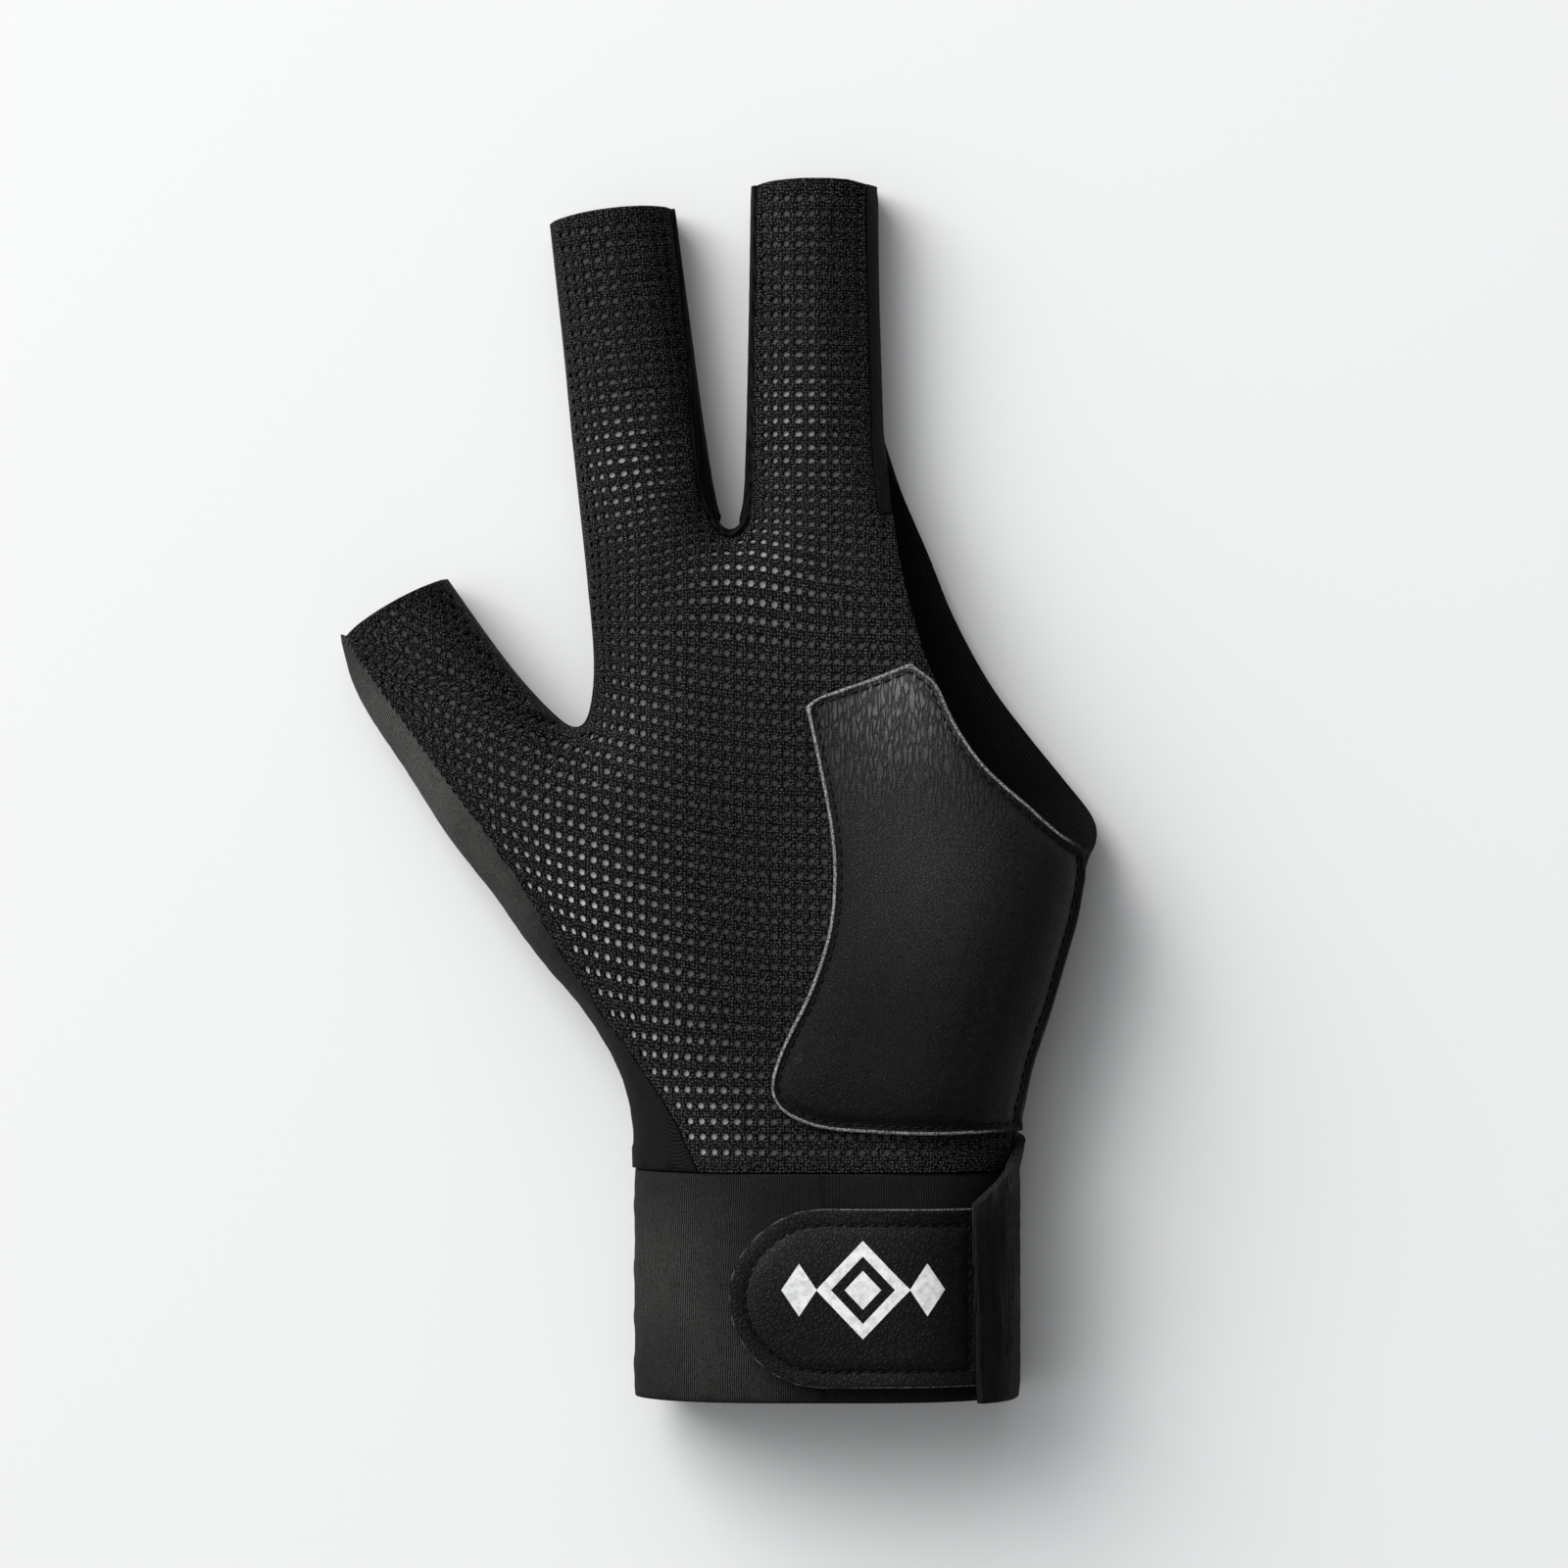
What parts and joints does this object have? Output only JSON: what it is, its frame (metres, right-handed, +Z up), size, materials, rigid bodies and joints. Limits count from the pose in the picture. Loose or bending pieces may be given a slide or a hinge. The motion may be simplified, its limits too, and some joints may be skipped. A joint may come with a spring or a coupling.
{
  "type": "three-finger billiard glove",
  "caption": "Left-hand billiard glove with an openwork mesh palm, open fingertips, a padded leather heel patch and a wrist cuff closed by a leather tab.",
  "frame": {"origin": "on the table, under the middle of the wrist cuff, where the cuff's flat underside rests", "axes": "+Y along the glove from the wrist towards the finger tips, +Z up through the glove from its back to its palm side, +X towards the heel of the hand and the open little-finger side"},
  "size_m": [0.135, 0.2168, 0.0348],
  "materials": {
    "mesh_fabric": "black openwork spacer mesh, matte",
    "stretch_knit": "black fine stretch knit, matte",
    "cuff_knit": "black ribbed stretch knit, matte",
    "soft_leather": "black soft grained leather, low sheen",
    "tab_leather": "black grained leather, semi-matte",
    "hook_pile": "black hook tape"
  },
  "bodies": {
    "root": {"palm_mesh": "mesh_fabric", "back_panel": "stretch_knit", "finger_gusset": "stretch_knit", "wrist_cuff": "cuff_knit", "heel_pad": "soft_leather", "strap_wing": "cuff_knit", "strap_tab": "tab_leather", "hook_patch": "hook_pile"}
  },
  "joints": []
}
